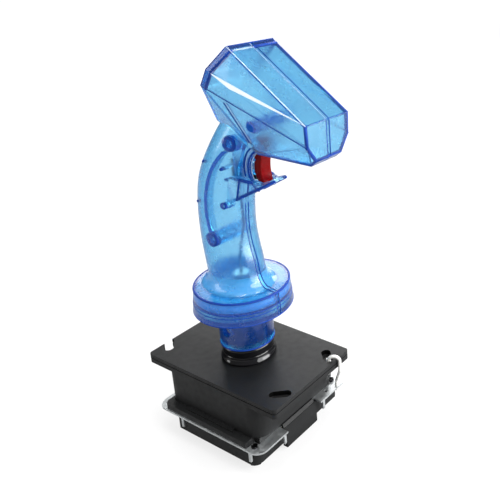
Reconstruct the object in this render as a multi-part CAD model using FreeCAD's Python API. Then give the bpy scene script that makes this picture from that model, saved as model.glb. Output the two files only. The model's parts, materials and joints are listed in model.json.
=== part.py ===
import FreeCAD, Part
import math
import os

os.makedirs("parts", exist_ok=True)
V = FreeCAD.Vector

# Levels of the base, from its underside up
COVER_T = 1.4
GATE_T = 3.0
FLOOR_T = 1.4
SWITCH_H = 10.3
STEEL_T = 1.2
FLANGE_T = 4.0
BOX_H = 21.9
LIP_T = 3.0
TOP_T = 3.1
TOUCH = 0.1
Z_FLOOR = COVER_T + GATE_T
Z_SWITCH = Z_FLOOR + FLOOR_T
Z_STEEL = Z_SWITCH + SWITCH_H + TOUCH
Z_FLANGE = Z_STEEL + STEEL_T
Z_BOX = Z_FLANGE + FLANGE_T
Z_LIP = Z_BOX + BOX_H
Z_PART = Z_LIP + LIP_T
Z_PLATE = Z_PART + TOP_T

# Top plate and housing
PLATE_X = 108.0
PLATE_Y = 68.6
PLATE_R = 2.5
EDGE_GROOVE = 0.5
BOX_X = 80.0
BOX_R = 10.0
WALL = 3.0
FLANGE_IN = 2.5
FLANGE_STEP = 4.9
FLANGE_X = BOX_X - 2 * FLANGE_IN
FLANGE_Y = PLATE_Y + 2 * FLANGE_STEP
FLANGE_R = 3.0
FLANGE_NOTCH_X = 4.2
FLANGE_NOTCH_Y = 7.0
RIB_X = 39.0
RIB_H = 1.3
RIB_STEP = 2.4
SLOT_W = 5.8
SLOT_L = 13.0
SLOT_IN_X = 7.7
SLOT_IN_Y = 12.9
SLOT_IN_BACK = 3.6
SLOT_X = PLATE_X / 2 - SLOT_IN_X
SLOT_Y = PLATE_Y / 2 - SLOT_IN_Y
SLOT_BACK_X = PLATE_X / 2 - SLOT_IN_BACK
SLOT_TURN = 40.0

# Sheet steel frame
STEEL_OUT_X = 7.0
STEEL_OUT_Y = 0.8
STEEL_X = FLANGE_X + 2 * STEEL_OUT_X
STEEL_Y = FLANGE_Y + 2 * STEEL_OUT_Y
STEEL_CUT = 7.0
EAR_R = 2.5
STEEL_NOTCH_Y = 31.0
STEEL_NOTCH_X = 7.5
STEEL_WINDOW = 21.0
STEEL_HOLE_IN = (4.3, 14.4)
STEEL_HOLE_R = 1.3
LUG_W = 1.8
LUG_H = 6.0
LUG_BACK_IN = 22.5
SCREW_IN_X = 8.1
SCREW_IN_Y = 4.4
SCREW_X = STEEL_X / 2 - SCREW_IN_X
SCREW_Y = STEEL_Y / 2 - SCREW_IN_Y
SCREW_R = 1.25
HEAD_R = 1.9
HEAD_H = 1.3

# Switch tray and restrictor gate
TRAY_IN_X = 4.5
TRAY_IN_Y = 1.3
TRAY_X = STEEL_X - 2 * TRAY_IN_X
TRAY_Y = STEEL_Y - 2 * TRAY_IN_Y
TRAY_R = 6.0
TRAY_CUT = 14.0
TRAY_WALL = 2.0
TRAY_DROP = 2.0
TRAY_HOLE_R = 14.6
BLOCK_Y = 28.0
BLOCK_RISE = 2.2
BLOCK_DROP = 2.0
BLOCK_CHAMFER = 3.0
COVER_SIZE = 46.0
GATE_SIZE = 50.0
GATE_HOLE = 21.4
GATE_HOLE_R = 2.0

# Microswitches
SWITCH_L = 27.8
SWITCH_D = 15.9
SWITCH_IN = 15.0
TAB_IN = 12.9
TAB_T = 0.3
TAB_W = 4.0
TAB_L = 21.0
PLUNGER_R = 1.3
PLUNGER_GAP = 0.1
TERMINAL_W = 4.8
TERMINAL_T = 0.8
TERMINAL_L = 4.6
TERMINAL_STEP = 9.0

# Lever pivot, shaft and centring parts
PIVOT_DEPTH = 11.0
PIVOT_Z = Z_PLATE - PIVOT_DEPTH
SHAFT_R = 4.5
SHAFT_FIT = 0.05
SHAFT_END = COVER_T + 0.7
SHAFT_IN_GRIP = 58.0
BALL_R = 8.5
BALL_CUT = 6.2
BALL_FIT = 0.06
PIN_R = 1.5
PIN_FIT = 0.04
PIN_HALF = 12.4
BEARING_R = 15.0
BEARING_H = 8.0
BEARING_FIT = 0.1
LEDGE_T = 2.0
LEDGE_R = 12.0
CONE_R = 6.7
PLATE_HOLE_R = 9.6
ACTUATOR_R = 8.0
ACTUATOR_LIFT = 1.6
ACTUATOR_Z = Z_SWITCH + ACTUATOR_LIFT
ACTUATOR_H = 7.6
FLANGE_RING_R = 10.4
FLANGE_RING_T = 1.4
CLIP_R = 6.4
CLIP_T = 0.9
SPRING_R = 8.6
SPRING_WIRE = 1.1
SPRING_TURNS = 4.0
COIL_STEPS = 16
COIL_SIDES = 8

# Dust boot
BOOT_H = 11.0
BOOT_R = 17.2
BOOT_WAIST = 15.8
BOOT_TOP_R = 16.4
BOOT_T = 1.4
BOOT_NECK_R = 12.0
BOOT_NECK_H = 7.0

# Handle, heights above the top plate
CYL_R = 16.7
CYL_LOW = 11.4
CYL_WALL = 4.2
COLLAR_LOW = 36.6
COLLAR_HIGH = 52.1
COLLAR_R_LOW = 30.3
COLLAR_R_HIGH = 28.8
COLLAR_WEB = 2.0
HUB_R = 7.6
SHELL = 2.4
SEAM_W = 1.9
SEAM_D = 0.45
SEAM_GAP = 0.05
# Grip stations: height, centre along X, half depth along X, half width along Y
GRIP = [
    (COLLAR_HIGH - 0.8, -2.2, 25.4, 22.2),
    (COLLAR_HIGH + 1.0, -2.5, 22.4, 19.0),
    (COLLAR_HIGH + 3.6, -2.8, 20.2, 16.8),
    (COLLAR_HIGH + 8.0, -3.4, 18.9, 15.7),
    (72.0, -5.2, 18.4, 15.6),
    (86.0, -6.9, 17.1, 15.9),
    (99.0, -6.7, 16.8, 16.2),
    (112.0, -5.3, 16.8, 16.2),
    (124.0, -2.2, 16.6, 16.0),
    (136.0, 3.2, 16.0, 15.2),
    (147.0, 9.0, 15.2, 13.0),
    (158.0, 15.0, 13.0, 10.0),
]
# Hood corners on one side: X, half width, height
HOOD = [
    (24.3, 17.0, 201.6),
    (10.2, 19.5, 188.6),
    (2.9, 17.8, 178.8),
    (1.5, 8.0, 157.0),
    (33.4, 10.2, 142.7),
    (70.5, 10.2, 142.7),
    (74.6, 10.2, 146.0),
    (74.6, 16.9, 155.0),
    (74.6, 17.2, 166.6),
]
HOOD_EDGE_R = 0.8
COLLAR_EDGE = 0.6
# Finger shelf under the trigger
SHELF_SIDE = [(6.0, 107.2), (38.8, 126.0), (38.0, 127.4), (30.0, 124.2), (18.0, 125.6), (6.0, 126.0)]
SHELF_PLAN = [(4.0, 11.6), (20.0, 10.4), (38.9, 4.6)]
SHELF_WALL = 1.8
# Moulded pads, a socket and a post inside the shell: X, height
PADS = [(7.7, 130.7), (-7.0, 132.6), (-14.4, 106.9)]
PAD_R = 0.9
PAD_L = 3.0
SOCKET = (4.5, 107.2)
SOCKET_R = 2.2
SOCKET_BORE = 1.1
SOCKET_L = 5.0
HOOD_POST = (34.0, 159.5)
HOOD_POST_R = 3.6
# Handle screws along Y: X, height
UPPER_SCREW = (13.6, 146.0)
LOWER_SCREW = (-4.6, 84.8)
SHAFT_SCREW = (0.0, 23.6)
BOSS_R = 4.6
BOSS_HEAD_R = 3.4
HSCREW_R = 1.6
HSCREW_HEAD_R = 3.0
HSCREW_HEAD_H = 2.0
HSCREW_SINK = 5.0
HSCREW_FIT = 0.03
STRIPE_R = 54.0
STRIPE_X = -6.3
STRIPE_Z = 102.0
STRIPE_W = 2.0
STRIPE_IN = 10.6

# Trigger and its switch
TRIGGER_Y = 8.4
TRIGGER_GAP = 0.5
TRIGGER_PIN = (27.6, 147.2)
TRIGGER_PIN_R = 1.5
TRIGGER_LUG_R = 3.6
TRIGGER_PIN_HALF = 8.6
TRIGGER_TIP = 119.6
TRIGGER_MID = 131.0
TRIGGER_X = 28.4
TRIGGER_T = 5.4
TRIGGER_FRONT_R = 26.0
TRIGGER_BACK_R = 11.5
TRIGGER_NECK = (24.4, 29.6)
TRIGGER_NECK_LOW = 137.0
TRIGGER_EDGE_R = 1.0
CHEEK_T = 1.8
CHEEK_GAP = 0.8
CHEEK_BACK = 10.0
TRIGGER_SWING = 6.5
TSWITCH_X = 4.0
TSWITCH_L = 12.8
TSWITCH_D = 6.6
TSWITCH_Z = 121.0
TSWITCH_Y = 6.0
TPEG_R = 1.1
TPLUNGER_R = 1.2
TPLUNGER_Z = 124.0
TPLUNGER_IN = 1.4
TPLUNGER_TIP = 20.9
TSPRING_R = 2.2
TSPRING_WIRE = 0.6
TSPRING_Z = 131.0
TSPRING_TURNS = 3.0
WIRE_R = 0.8
WIRE_BEND = 8.0
WIRE_X = 5.7

# White lead between the steel frame and a mounting slot
LEAD_R = 1.05
LEAD_GAP = 0.4
LEAD_TAIL = 3.0
LEAD_FOOT = (STEEL_X / 2 - 2.2, STEEL_Y / 2 - 5.8)
LEAD_OUT_X = PLATE_X / 2 + LEAD_R + LEAD_GAP
LEAD_OUT_Y = SLOT_Y + 1.3
LEAD_IN_X = SLOT_X + 2.9
LEAD_IN_Y = SLOT_Y - 2.2
LEAD_RISE = 2.0
LEAD_BEND = 3.2
LEAD_KINK = 1.6
LEAD_DROP = 12.0


def cyl(r, z0, z1, x=0.0, y=0.0):
    return Part.makeCylinder(r, z1 - z0, V(x, y, z0))


def cyl_y(r, y0, y1, x, z):
    return Part.makeCylinder(r, y1 - y0, V(x, y0, z), V(0, 1, 0))


def cyl_x(r, x0, x1, y, z):
    return Part.makeCylinder(r, x1 - x0, V(x0, y, z), V(1, 0, 0))


def block(x0, x1, y0, y1, z0, z1):
    return Part.makeBox(x1 - x0, y1 - y0, z1 - z0, V(x0, y0, z0))


def centred(sx, sy, z0, z1, r=0.0):
    shape = block(-sx / 2, sx / 2, -sy / 2, sy / 2, z0, z1)
    if r > 0:
        upright = [e for e in shape.Edges if abs(e.tangentAt(e.FirstParameter).z) > 0.9]
        shape = shape.makeFillet(r, upright)
    return shape


def prism_y(points, y0, y1):
    wire = Part.makePolygon([V(x, y0, z) for x, z in points] + [V(points[0][0], y0, points[0][1])])
    return Part.Face(wire).extrude(V(0, y1 - y0, 0))


def prism_z(points, z0, z1):
    wire = Part.makePolygon([V(x, y, z0) for x, y in points] + [V(points[0][0], points[0][1], z0)])
    return Part.Face(wire).extrude(V(0, 0, z1 - z0))


def turned(points):
    wire = Part.makePolygon([V(r, 0, z) for r, z in points] + [V(points[0][0], 0, points[0][1])])
    return Part.Face(wire).revolve(V(0, 0, 0), V(0, 0, 1), 360)


def along_y(edge):
    return abs(edge.tangentAt(edge.FirstParameter).y) > 0.9


def join(*shapes):
    out = shapes[0]
    for s in shapes[1:]:
        out = out.fuse(s)
    return out.removeSplitter()


def rod(points, bends, radius):
    """Round bar along straight runs joined by tangent arcs."""
    pts = [V(*p) for p in points]
    pieces = []
    start = pts[0]
    for i in range(1, len(pts) - 1):
        a = (pts[i - 1] - pts[i]).normalize()
        b = (pts[i + 1] - pts[i]).normalize()
        half = a.getAngle(b) / 2
        bend = bends[i - 1]
        turn_in = pts[i] + a * (bend / math.tan(half))
        centre = pts[i] + (a + b).normalize() * (bend / math.sin(half))
        pieces.append(Part.makeCylinder(radius, (turn_in - start).Length, start, turn_in - start))
        ring = Part.Face(Part.Wire([Part.makeCircle(radius, turn_in, a)]))
        pieces.append(ring.revolve(centre, b.cross(a), 180 - 2 * math.degrees(half)))
        start = pts[i] + b * (bend / math.tan(half))
    pieces.append(Part.makeCylinder(radius, (pts[-1] - start).Length, start, pts[-1] - start))
    return join(*pieces)


def coil(radius, wire, z0, z1, turns):
    """Helical spring of eight-sided wire that stands between the two heights."""
    rise = z1 - z0 - wire
    slope = math.atan2(rise, 2 * math.pi * radius * turns)
    corners = []
    for k in range(COIL_SIDES):
        angle = 2 * math.pi * (k + 0.5) / COIL_SIDES
        side = wire / 2 * math.sin(angle)
        corners.append(V(radius + wire / 2 * math.cos(angle), -side * math.sin(slope), side * math.cos(slope)))
    ring = Part.makePolygon(corners + corners[:1])
    steps = round(turns * COIL_STEPS)
    rings = []
    for k in range(steps + 1):
        section = ring.copy()
        section.rotate(V(0, 0, 0), V(0, 0, 1), 360 * turns * k / steps)
        section.translate(V(0, 0, z0 + wire / 2 + rise * k / steps))
        rings.append(section)
    return Part.makeLoft(rings, True, True)


def save(name, shape):
    shape.exportStep("parts/" + name + ".step")


def group(shapes):
    return Part.makeCompound(shapes)


def mirrored(shape):
    return shape.mirror(V(0, 0, 0), V(0, 1, 0))


def around(shape, angle):
    out = shape.copy()
    out.rotate(V(0, 0, 0), V(0, 0, 1), angle)
    return out


def slot(x, y, turn, z0, z1):
    half = (SLOT_L - SLOT_W) / 2
    body = join(block(-half, half, -SLOT_W / 2, SLOT_W / 2, z0, z1),
                cyl(SLOT_W / 2, z0, z1, -half), cyl(SLOT_W / 2, z0, z1, half))
    body.rotate(V(0, 0, 0), V(0, 0, 1), turn)
    body.translate(V(x, y, 0))
    return body


def slots(z0, z1):
    cuts = []
    for side in (1, -1):
        cuts.append(slot(SLOT_X, side * SLOT_Y, -side * SLOT_TURN, z0, z1))
        cuts.append(slot(-SLOT_BACK_X, side * SLOT_Y, side * SLOT_TURN, z0, z1))
    return cuts


def top_plate():
    body = centred(PLATE_X, PLATE_Y, Z_PART + EDGE_GROOVE, Z_PLATE, PLATE_R)
    foot = centred(PLATE_X - 2 * EDGE_GROOVE, PLATE_Y - 2 * EDGE_GROOVE, Z_PART, Z_PART + EDGE_GROOVE,
                   PLATE_R - EDGE_GROOVE)
    body = join(body, foot)
    for cut in slots(Z_PART - 1, Z_PLATE + 1):
        body = body.cut(cut)
    return body.cut(cyl(PLATE_HOLE_R, Z_PART - 1, Z_PLATE + 1))


def screw_spots():
    return [(SCREW_X, SCREW_Y), (SCREW_X, -SCREW_Y)]


def lug_starts():
    """Where the lugs along both long sides of the steel begin."""
    return (LUG_BACK_IN - STEEL_X / 2, STEEL_X / 2 - STEEL_CUT - LUG_W)


def housing():
    lip = centred(PLATE_X, PLATE_Y, Z_LIP, Z_PART, PLATE_R)
    walls = centred(BOX_X, PLATE_Y, Z_BOX, Z_LIP, BOX_R)
    room = centred(BOX_X - 2 * WALL, PLATE_Y - 2 * WALL, Z_FLANGE, Z_LIP, BOX_R - WALL)
    flange = centred(FLANGE_X, FLANGE_Y, Z_FLANGE, Z_BOX, FLANGE_R)
    ribs = [block(-RIB_X / 2, RIB_X / 2, PLATE_Y / 2 - WALL / 2, FLANGE_Y / 2 - RIB_STEP, Z_BOX, Z_BOX + RIB_H)]
    ribs.append(mirrored(ribs[0]))
    boss_low = PIVOT_Z - BEARING_H - LEDGE_T
    boss = cyl(BEARING_R + WALL, boss_low, Z_LIP)
    webs = [block(BEARING_R, BOX_X / 2 - WALL / 2, -WALL / 2, WALL / 2, boss_low + WALL, Z_LIP)]
    across = block(BEARING_R, PLATE_Y / 2 - WALL / 2, -WALL / 2, WALL / 2, boss_low + WALL, Z_LIP)
    webs.append(around(across, 90))
    webs.append(around(webs[0], 180))
    webs.append(around(webs[1], 180))
    body = join(walls, flange).cut(room)
    body = join(body, lip, boss, *webs, *ribs)
    body = body.cut(cyl(BEARING_R + BEARING_FIT, PIVOT_Z - BEARING_H, Z_PART + 1))
    body = body.cut(cyl(LEDGE_R, boss_low - 1, PIVOT_Z))
    for cut in slots(Z_LIP - 1, Z_PART + 1):
        body = body.cut(cut)
    x0 = FLANGE_X / 2 - FLANGE_NOTCH_X
    y0 = FLANGE_Y / 2 - FLANGE_NOTCH_Y
    notch = block(x0, FLANGE_X, y0, FLANGE_Y, Z_FLANGE - 1, Z_BOX)
    for cut in (notch, mirrored(notch)):
        body = body.cut(cut)
    wall_hole = cyl_x(LEAD_R + LEAD_GAP, BOX_X / 2 - 2 * WALL, BOX_X / 2 + 1, LEAD_IN_Y, Z_LIP - LEAD_DROP / 2)
    return body.cut(wall_hole)


def bearing(upper):
    z0 = PIVOT_Z if upper else PIVOT_Z - BEARING_H
    z1 = Z_PART if upper else PIVOT_Z
    body = cyl(BEARING_R, z0, z1)
    body = body.cut(Part.makeSphere(BALL_R + BALL_FIT, V(0, 0, PIVOT_Z)))
    reach = 1.5 * BEARING_H
    if upper:
        cone = Part.makeCone(CONE_R - 1.2, CONE_R + 2.4, reach, V(0, 0, PIVOT_Z))
    else:
        cone = Part.makeCone(CONE_R + 2.4, CONE_R - 1.2, reach, V(0, 0, PIVOT_Z - reach))
    body = body.cut(cone)
    swing = PIN_R + PIN_HALF * math.sin(math.radians(10.5))
    half = PIN_R + PIN_FIT
    way = block(-PIN_HALF - 0.4, PIN_HALF + 0.4, -half, half, PIVOT_Z - swing, PIVOT_Z + swing)
    return body.cut(way)


def pivot_ball():
    body = Part.makeSphere(BALL_R, V(0, 0, PIVOT_Z))
    body = body.common(cyl(BALL_R + 1, PIVOT_Z - BALL_CUT, PIVOT_Z + BALL_CUT))
    body = body.cut(cyl(SHAFT_R + SHAFT_FIT, PIVOT_Z - BALL_R, PIVOT_Z + BALL_R))
    return body.cut(cyl_x(PIN_R + PIN_FIT, -BALL_R - 1, BALL_R + 1, 0, PIVOT_Z))


def shaft():
    body = cyl(SHAFT_R, SHAFT_END, Z_PLATE + SHAFT_IN_GRIP)
    body = body.cut(cyl_x(PIN_R + PIN_FIT, -SHAFT_R - 1, SHAFT_R + 1, 0, PIVOT_Z))
    screw_x, screw_z = SHAFT_SCREW
    body = body.cut(cyl_y(HSCREW_R + HSCREW_FIT, -SHAFT_R - 1, SHAFT_R + 1, screw_x, Z_PLATE + screw_z))
    groove = cyl(SHAFT_R + 1, ACTUATOR_Z - CLIP_T - 0.05, ACTUATOR_Z - 0.02)
    groove = groove.cut(cyl(SHAFT_R - 0.8, ACTUATOR_Z - CLIP_T - 1, ACTUATOR_Z + 1))
    body = body.cut(groove)
    top = Z_PLATE + SHAFT_IN_GRIP
    return body.cut(cyl(WIRE_R + 0.3, top - 12, top + 1))


def clip():
    body = cyl(CLIP_R, ACTUATOR_Z - CLIP_T - 0.03, ACTUATOR_Z - 0.03)
    body = body.cut(cyl(SHAFT_R - 0.75, 0, 2 * ACTUATOR_Z))
    return body.cut(block(0, CLIP_R + 1, -SHAFT_R + 1.2, SHAFT_R - 1.2, 0, 2 * ACTUATOR_Z))


def actuator():
    body = cyl(ACTUATOR_R, ACTUATOR_Z, ACTUATOR_Z + ACTUATOR_H)
    top = ACTUATOR_Z + ACTUATOR_H
    body = join(body, cyl(FLANGE_RING_R, top, top + FLANGE_RING_T))
    return body.cut(cyl(SHAFT_R + SHAFT_FIT, ACTUATOR_Z - 1, top + 5))


def steel_frame():
    x = STEEL_X / 2
    y = STEEL_Y / 2
    body = centred(STEEL_X, STEEL_Y, Z_STEEL, Z_FLANGE, STEEL_CUT)
    body = body.cut(centred(2 * STEEL_WINDOW, 2 * STEEL_WINDOW, Z_STEEL - 1, Z_FLANGE + 1, STEEL_CUT))
    for s in (1, -1):
        edge = sorted((s * (x - STEEL_NOTCH_X), s * (x + 1)))
        half = STEEL_NOTCH_Y / 2
        body = body.cut(block(edge[0], edge[1], -half, half, Z_STEEL - 1, Z_FLANGE + 1))
    lugs = []
    for s in (1, -1):
        for lx in lug_starts():
            side = sorted((s * y, s * (y - STEEL_T)))
            lugs.append(block(lx, lx + LUG_W, side[0], side[1], Z_STEEL - LUG_H, Z_FLANGE))
        for ly in (-STEEL_NOTCH_Y / 2 - 2 * LUG_W, STEEL_NOTCH_Y / 2 + LUG_W):
            side = sorted((s * x, s * (x - STEEL_T)))
            lugs.append(block(side[0], side[1], ly, ly + LUG_W, Z_STEEL - LUG_H, Z_FLANGE))
    ear = block(x - 2 * STEEL_CUT, x, y - 2 * STEEL_CUT, y, Z_STEEL, Z_FLANGE)
    corner = [e for e in ear.Edges if e.BoundBox.XMin > x - TOUCH and e.BoundBox.YMin > y - TOUCH]
    body = join(body, ear.makeFillet(EAR_R, corner), *lugs)
    for px, py in screw_spots():
        body = body.cut(cyl(SCREW_R + TOUCH, Z_STEEL - 1, Z_FLANGE + 1, px, py))
    in_x, in_y = STEEL_HOLE_IN
    body = body.cut(cyl(STEEL_HOLE_R, Z_STEEL - 1, Z_FLANGE + 1, x - in_x, y - in_y))
    return body.cut(cyl(LEAD_R + LEAD_GAP, Z_STEEL - 1, Z_FLANGE + 1, *LEAD_FOOT))


def tray_block(inset, z0, z1):
    """Block in the tray's outline, with the two back corners cut off."""
    x = TRAY_X / 2 - inset
    y = TRAY_Y / 2 - inset
    body = centred(2 * x, 2 * y, z0, z1, TRAY_R - inset)
    leg = TRAY_CUT - (2 - math.sqrt(2)) * inset
    corner = prism_z([(-x + leg, y + TOUCH), (-x - TOUCH, y + TOUCH), (-x - TOUCH, y - leg)], z0 - 1, z1 + 1)
    return body.cut(corner).cut(mirrored(corner))


def switch_tray():
    skirt = tray_block(0.0, Z_FLOOR + TRAY_DROP, Z_STEEL)
    room = tray_block(TRAY_WALL, Z_SWITCH, Z_STEEL + 1)
    floor = tray_block(TRAY_WALL, Z_FLOOR, Z_SWITCH + TRAY_DROP)
    body = join(skirt, floor).cut(room)
    inside = tray_block(TOUCH, Z_SWITCH - TOUCH, Z_STEEL)
    posts = [cyl(2.6 * SCREW_R, Z_SWITCH - TOUCH, Z_STEEL, px, py) for px, py in screw_spots()]
    body = join(body, *[p.common(inside) for p in posts])
    ends = []
    x = TRAY_X / 2
    high = Z_STEEL + BLOCK_RISE
    low = Z_FLOOR - BLOCK_DROP
    for s in (1, -1):
        inner = x - TRAY_WALL
        outer = x + BLOCK_CHAMFER / 2
        slant = high - 2 * BLOCK_CHAMFER
        side = [(inner, low), (inner, high), (inner + 0.6, high), (outer, slant), (outer, low)]
        ends.append(prism_y([(s * px, pz) for px, pz in side], -BLOCK_Y / 2, BLOCK_Y / 2))
    body = join(body, *ends)
    for px, py in screw_spots():
        body = body.cut(cyl(SCREW_R + TOUCH, Z_STEEL - 8, Z_STEEL + 1, px, py))
    body = body.cut(cyl(TRAY_HOLE_R, Z_FLOOR - 1, Z_SWITCH + 1))
    body = body.cut(cyl(LEAD_R + LEAD_GAP, Z_STEEL - LEAD_TAIL - LEAD_GAP, Z_STEEL + 1, *LEAD_FOOT))
    for s in (1, -1):
        for lx in lug_starts():
            side = sorted((s * (STEEL_Y / 2 - STEEL_T - TOUCH), s * STEEL_Y))
            low = Z_STEEL - LUG_H - LEAD_GAP
            body = body.cut(block(lx - LEAD_GAP, lx + LUG_W + LEAD_GAP, side[0], side[1], low, Z_STEEL + 1))
    return body


def gate():
    body = centred(GATE_SIZE, GATE_SIZE, COVER_T, Z_FLOOR, TRAY_R)
    return body.cut(centred(GATE_HOLE, GATE_HOLE, COVER_T - 1, Z_FLOOR + 1, GATE_HOLE_R))


def switch_case():
    z0 = Z_SWITCH
    body = block(SWITCH_IN, SWITCH_IN + SWITCH_D, -SWITCH_L / 2, SWITCH_L / 2, z0, z0 + SWITCH_H)
    for s in (1, -1):
        hole = cyl(SCREW_R, z0 - 1, z0 + SWITCH_H + 1, SWITCH_IN + SWITCH_D - 3.0, s * SWITCH_L / 2.5)
        body = body.cut(hole)
    mid = z0 + SWITCH_H / 2
    return body.cut(cyl_x(PLUNGER_R + PLUNGER_GAP, SWITCH_IN - 1, SWITCH_IN + 5, 0, mid))


def switch_tab():
    z0 = Z_SWITCH + (SWITCH_H - TAB_W) / 2
    y0 = -TAB_L / 2
    y1 = TAB_L / 2
    foot = SWITCH_IN - TAB_T
    back = TAB_IN + TAB_T
    pts = [(SWITCH_IN, y0), (SWITCH_IN, y0 + 2.5), (foot, y0 + 2.5), (back, y0 + 6.0), (back, y1),
           (TAB_IN, y1), (TAB_IN, y0 + 6.0 - TAB_T), (foot - 0.1, y0)]
    return prism_z(pts, z0, z0 + TAB_W)


def switch_plunger():
    mid = Z_SWITCH + SWITCH_H / 2
    return cyl_x(PLUNGER_R, TAB_IN + TAB_T, SWITCH_IN + 4.8, 0, mid)


def switch_terminals():
    mid = Z_SWITCH + SWITCH_H / 2
    out = SWITCH_IN + SWITCH_D
    blades = []
    for k in (-1, 0, 1):
        y = k * TERMINAL_STEP
        blades.append(block(out, out + TERMINAL_L, y - TERMINAL_W / 2, y + TERMINAL_W / 2, mid - TERMINAL_T / 2,
                            mid + TERMINAL_T / 2))
    return blades


def boot():
    outer = [(BOOT_R - 0.9, 0.0), (BOOT_R, 1.0), (BOOT_R - 0.3, 2.2), (BOOT_WAIST + 0.5, 3.0),
             (BOOT_WAIST, 5.0), (BOOT_WAIST + 0.1, 7.5), (BOOT_TOP_R, 9.0), (BOOT_TOP_R, BOOT_H - 0.8),
             (BOOT_TOP_R - 0.8, BOOT_H), (BOOT_NECK_R, BOOT_H), (BOOT_NECK_R, BOOT_H + BOOT_NECK_H)]
    inner = [(BOOT_NECK_R - BOOT_T, BOOT_H + BOOT_NECK_H), (BOOT_NECK_R - BOOT_T, BOOT_H - BOOT_T),
             (BOOT_WAIST - BOOT_T, BOOT_H - BOOT_T), (BOOT_WAIST - BOOT_T, 0.0)]
    return turned([(r, Z_PLATE + z) for r, z in outer + inner])


def hull_planes(points):
    """Supporting planes of a convex body given by its corners."""
    planes = []
    n = len(points)
    for i in range(n):
        for j in range(i + 1, n):
            for k in range(j + 1, n):
                normal = (points[j] - points[i]).cross(points[k] - points[i])
                if normal.Length < 1e-6:
                    continue
                normal.normalize()
                offs = [normal.dot(p - points[i]) for p in points]
                if max(offs) > 0.05 and min(offs) < -0.05:
                    continue
                if max(offs) > 0.05:
                    normal = normal * -1
                level = normal.dot(points[i])
                if all((normal - m).Length > 0.02 or abs(level - w) > 0.3 for m, w in planes):
                    planes.append((normal, level))
    return planes


def hood(inset):
    corners = [V(x, s * w, Z_PLATE + z) for x, w, z in HOOD for s in (1, -1)]
    body = block(-20, 100, -30, 30, Z_PLATE + 120, Z_PLATE + 220)
    for normal, level in hull_planes(corners):
        cutter = Part.makeBox(1200, 1200, 300, V(-600, -600, 0))
        turn = FreeCAD.Rotation(V(0, 0, 1), normal)
        cutter.Placement = FreeCAD.Placement(normal * (level - inset), turn)
        body = body.cut(cutter)
    if inset == 0:
        body = body.makeFillet(HOOD_EDGE_R, body.Edges)
    return body


def grip(inset):
    rings = []
    for z, x, a, b in GRIP:
        curve = Part.Ellipse(V(x, 0, Z_PLATE + z), a - inset, b - inset)
        rings.append(Part.Wire([curve.toShape()]))
    return Part.makeLoft(rings, True, False)


def shelf(inset):
    side = [V(x, -20, Z_PLATE + z) for x, z in SHELF_SIDE]
    far = [(x, -w) for x, w in reversed(SHELF_PLAN)]
    plan = [V(x, w, Z_PLATE + 100) for x, w in SHELF_PLAN + far]
    walls = []
    for points, reach in ((side, V(0, 40, 0)), (plan, V(0, 0, 40))):
        outline = Part.makePolygon(points + points[:1])
        if inset > 0:
            outline = outline.makeOffset2D(-inset)
        walls.append(Part.Face(outline).extrude(reach))
    return walls[0].common(walls[1])


def collar(inset):
    low = Z_PLATE + COLLAR_LOW
    tall = COLLAR_HIGH - COLLAR_LOW
    body = Part.makeCone(COLLAR_R_LOW - inset, COLLAR_R_HIGH - inset, tall, V(0, 0, low))
    if inset == 0:
        body = body.makeChamfer(COLLAR_EDGE, [e for e in body.Edges if e.isClosed()])
    return body


def skin(inset):
    low = Z_PLATE + CYL_LOW
    tube = cyl(CYL_R - inset, low, Z_PLATE + COLLAR_HIGH - 2)
    body = grip(inset).fuse(hood(inset))
    body = body.fuse(shelf(0.0))
    body = body.fuse(collar(inset))
    return body.fuse(tube)


def hollow():
    base = Z_PLATE
    above = block(-60, 60, -40, 40, base + COLLAR_HIGH + 1.0, base + 180)
    rooms = [grip(SHELL).common(above), hood(SHELL), shelf(SHELF_WALL)]
    lower = (COLLAR_LOW + COLLAR_WEB, COLLAR_LOW + 3 * COLLAR_WEB)
    upper = (COLLAR_LOW + 4 * COLLAR_WEB, COLLAR_HIGH - COLLAR_WEB)
    for z0, z1 in (lower, upper):
        ring = cyl(COLLAR_R_HIGH - SHELL, base + z0, base + z1)
        rooms.append(ring.cut(cyl(CYL_R, base + z0 - 1, base + z1 + 1)))
    rooms.append(cyl(CYL_R - CYL_WALL, base + CYL_LOW - 1, base + COLLAR_HIGH + 2))
    return rooms


def boss(spot, radius):
    return cyl_y(radius, -40, 40, spot[0], Z_PLATE + spot[1])


def wall_stud(spot, radius, length):
    """Round stud that stands inwards from the near wall."""
    wall = screw_face(spot) - SHELL
    return cyl_y(radius, -wall - SHELL, -wall + length, spot[0], Z_PLATE + spot[1])


def stripe():
    x = STRIPE_X + STRIPE_R
    band = cyl_y(STRIPE_R + STRIPE_W / 2, -40, 40, x, Z_PLATE + STRIPE_Z)
    band = band.cut(cyl_y(STRIPE_R - STRIPE_W / 2, -41, 41, x, Z_PLATE + STRIPE_Z))
    span = block(-30, UPPER_SCREW[0], -40, 40, Z_PLATE + LOWER_SCREW[1] + 3, Z_PLATE + UPPER_SCREW[1] - 3)
    band = band.common(span)
    return band.cut(block(-60, 60, -STRIPE_IN, STRIPE_IN, Z_PLATE + 60, Z_PLATE + 180))


def trigger_way():
    half = TRIGGER_Y / 2 + TRIGGER_GAP
    x0 = TRIGGER_X - TRIGGER_T - TRIGGER_SWING
    x1 = TRIGGER_X + TRIGGER_T + 2.0
    return block(x0, x1, -half, half, Z_PLATE + TRIGGER_TIP - 1.2, Z_PLATE + TRIGGER_PIN[1] + 6)


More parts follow.
